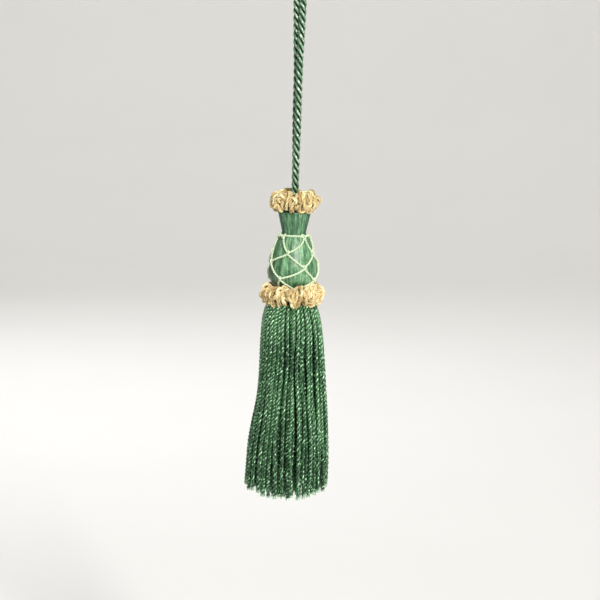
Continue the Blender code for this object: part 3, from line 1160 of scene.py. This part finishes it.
def yarn_finish(
    name, dark, middle, light, groove_shade, groove_edge, roughness, gloss, sheen,
    metal=0.0, bump=0.5, glints=0.0, end_glow=0.0, tint=None,
):
    """A twisted yarn's material. Colours are linear. tint colours some stretches of the yarn.

    groove_edge is how far out on a ply its groove begins to darken it with painted shade, from -1 inside
    to 1 outside. glints is how strong the painted glints and the dark specks of painted shade are.
    end_glow is how much paler a strand is painted at its looped end: a painted highlight.
    """
    material, shader, wire = new_finish(
        name,
        Metallic=metal,
        Specular_IOR_Level=gloss,
        Sheen_Weight=sheen,
        Sheen_Roughness=0.35,
        Sheen_Tint=shade(light, 1.6, 0.1),
    )
    fibre = wire.node("ShaderNodeAttribute", {"attribute_name": "fibre"}, output="Vector")
    tone = wire.node("ShaderNodeAttribute", {"attribute_name": "tone"}, output="Fac")
    along, outward, sideways = wire.parts(fibre)
    down = along * FIBRE_GRAIN[0] + tone * TONE_SHIFT
    spot = wire.joined(down, outward * FIBRE_GRAIN[1], sideways * FIBRE_GRAIN[1])
    streak = wire.noise(spot, 1.0, detail=3.0, rough=0.6)
    blotch = wire.noise(spot, 0.23, detail=1.0)
    groove = 1.0 - outward.between(groove_edge - 1.2, groove_edge)
    strength = streak * 0.9 + blotch * 0.45 + tone * 0.5 - 0.42
    colour = three_tones(strength, dark, middle, light, 0.55, 0.45)
    if glints:
        # Painted glints: bright specks in the colour, and dark specks of painted shade between them.
        at = wire.node("ShaderNodeTexCoord", output="Object")
        speck_noise = wire.noise(at, SPECK_GRAIN, detail=1.0)
        parted = (1.0 - speck_noise.between(0.36, 0.46)) * (0.8 * glints)
        colour = parted.mixed(colour, shade(dark, 0.7))
        painted_glint = speck_noise.between(0.54, 0.64) * glints
        colour = painted_glint.mixed(colour, shade(light, 1.7, 0.1))
    if tint:
        patch = wire.noise(spot, 0.11, detail=1.0).between(0.48, 0.62)
        colour = patch.mixed(colour, shade(tint), "MULTIPLY")
    # Painted shade: the colour darkens towards the grooves between the plies.
    colour = (groove * groove_shade).mixed(colour, shade(dark, 0.25))
    if end_glow:
        # Painted highlight: the looped ends are painted paler.
        end = 1.0 - along.between(0.2, 1.6)
        colour = (end * end_glow).mixed(colour, shade(light, 1.0, 0.45))
    dulled = streak * 0.16 + groove * 0.2 + (roughness - 0.08)
    plug_streaked(shader, colour, dulled, streak, bump)
    return material


# %% The yarns
cord_green = yarn_finish(
    "cord_green_rayon",
    dark=(0.014, 0.080, 0.038),
    middle=(0.120, 0.290, 0.145),
    light=(0.520, 0.720, 0.480),
    groove_shade=0.95, groove_edge=0.92, roughness=0.38, gloss=0.8, sheen=0.08,
    metal=0.3, glints=0.4,
)
net_cream = yarn_finish(
    "net_cream_thread",
    dark=(0.480, 0.620, 0.380),
    middle=(0.700, 0.840, 0.580),
    light=(0.860, 0.950, 0.760),
    groove_shade=0.30, groove_edge=0.45, roughness=0.5, gloss=0.5, sheen=0.2, bump=0.3,
)
ruff_cream = yarn_finish(
    "ruff_cream_gold",
    dark=(0.400, 0.300, 0.120),
    middle=(0.675, 0.565, 0.290),
    light=(0.915, 0.830, 0.500),
    groove_shade=0.55, groove_edge=0.40, roughness=0.85, gloss=0.2, sheen=0.4, bump=0.6,
    tint=(1.0, 0.84, 0.82),
)
skirt_green = yarn_finish(
    "skirt_green_rayon",
    dark=(0.007, 0.041, 0.016),
    middle=(0.040, 0.145, 0.056),
    light=(0.180, 0.390, 0.195),
    groove_shade=0.60, groove_edge=0.60, roughness=0.32, gloss=0.8, sheen=0.1,
    metal=0.55, glints=0.75, end_glow=0.7,
)

# %% [markdown]
# ## Floss
#
# Floss is untwisted, so it shines like satin in long streaks. Its threads all run from the neck to the
# foot. The direction from the axis, without the height, is the same all the way down a thread: a noise
# that reads it and only a little of the height draws streaks along the threads. Their lighter and darker
# colour is in part painted sheen of the satin, and in part threads of their own tone.

# %% Floss finish
STREAK_GRAIN = 26.0
BAND_GRAIN = 6.0
STREAK_DRIFT = 60.0  # how fast a streak changes down a thread


def floss_finish(name, dark, middle, light):
    """The material of wound floss. Colours are linear."""
    material, shader, wire = new_finish(name, Metallic=0.0, Specular_IOR_Level=0.45)
    place_on_piece = wire.node("ShaderNodeTexCoord", output="Object")
    tone = wire.node("ShaderNodeAttribute", {"attribute_name": "tone"}, output="Fac")
    x, y, z = wire.parts(place_on_piece)
    flat = wire.joined(x, y, 0.0)
    way = wire.node("ShaderNodeVectorMath", {"operation": "NORMALIZE"}, {0: flat})
    x, y, _ = wire.parts(way)
    spot = wire.joined(x, y, z * STREAK_DRIFT)
    streak = wire.noise(spot, STREAK_GRAIN, detail=3.0, rough=0.65)
    band = wire.noise(spot, BAND_GRAIN, detail=1.0)
    strength = streak * 1.2 + band * 1.2 + tone * 0.45 - 0.95
    colour = three_tones(strength, dark, middle, light, 0.5, 0.4)
    plug_streaked(shader, colour, streak * 0.2 + 0.28, streak, bump=0.4)
    return material


floss_green = floss_finish(
    "floss_green_satin",
    dark=(0.018, 0.068, 0.030),
    middle=(0.070, 0.190, 0.090),
    light=(0.270, 0.480, 0.270),
)

# %% [markdown]
# ## Dressing the pieces
#
# A piece gets its material at the end, when it is whole. It is also hung from the root body, and the
# plain solid that it stands for is hidden.

# %% Dressing the pieces
def finish_piece(piece, node, material):
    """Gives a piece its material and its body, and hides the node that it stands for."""
    piece.data.materials.clear()
    piece.data.materials.append(material)
    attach(piece, "root")
    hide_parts(node)
    triangles = sum(len(face.vertices) - 2 for face in piece.data.polygons)
    print(f"{piece.name}: {triangles} triangles, {piece.dimensions.z / MM:.1f} mm high")


finish_piece(cord, "hanging_cord", cord_green)
finish_piece(head, "head", floss_green)
finish_piece(net, "head_net", net_cream)
for node, pieces in ruffs.items():
    for piece in pieces:
        finish_piece(piece, node, ruff_cream)
for piece in fringes:
    finish_piece(piece, "skirt", skirt_green)

# %% Floor finish
floor_finish, floor_shader, floor_wire = new_finish("studio_paper", Specular_IOR_Level=0.2)
grain = floor_wire.noise(floor_wire.node("ShaderNodeTexCoord", output="Object"), 6.0, detail=4.0)
plug(floor_shader, "Base Color", grain.mixed(shade((0.80, 0.79, 0.77)), shade((0.84, 0.83, 0.81))))
plug(floor_shader, "Roughness", grain * 0.1 + 0.8)
floor.data.materials.append(floor_finish)
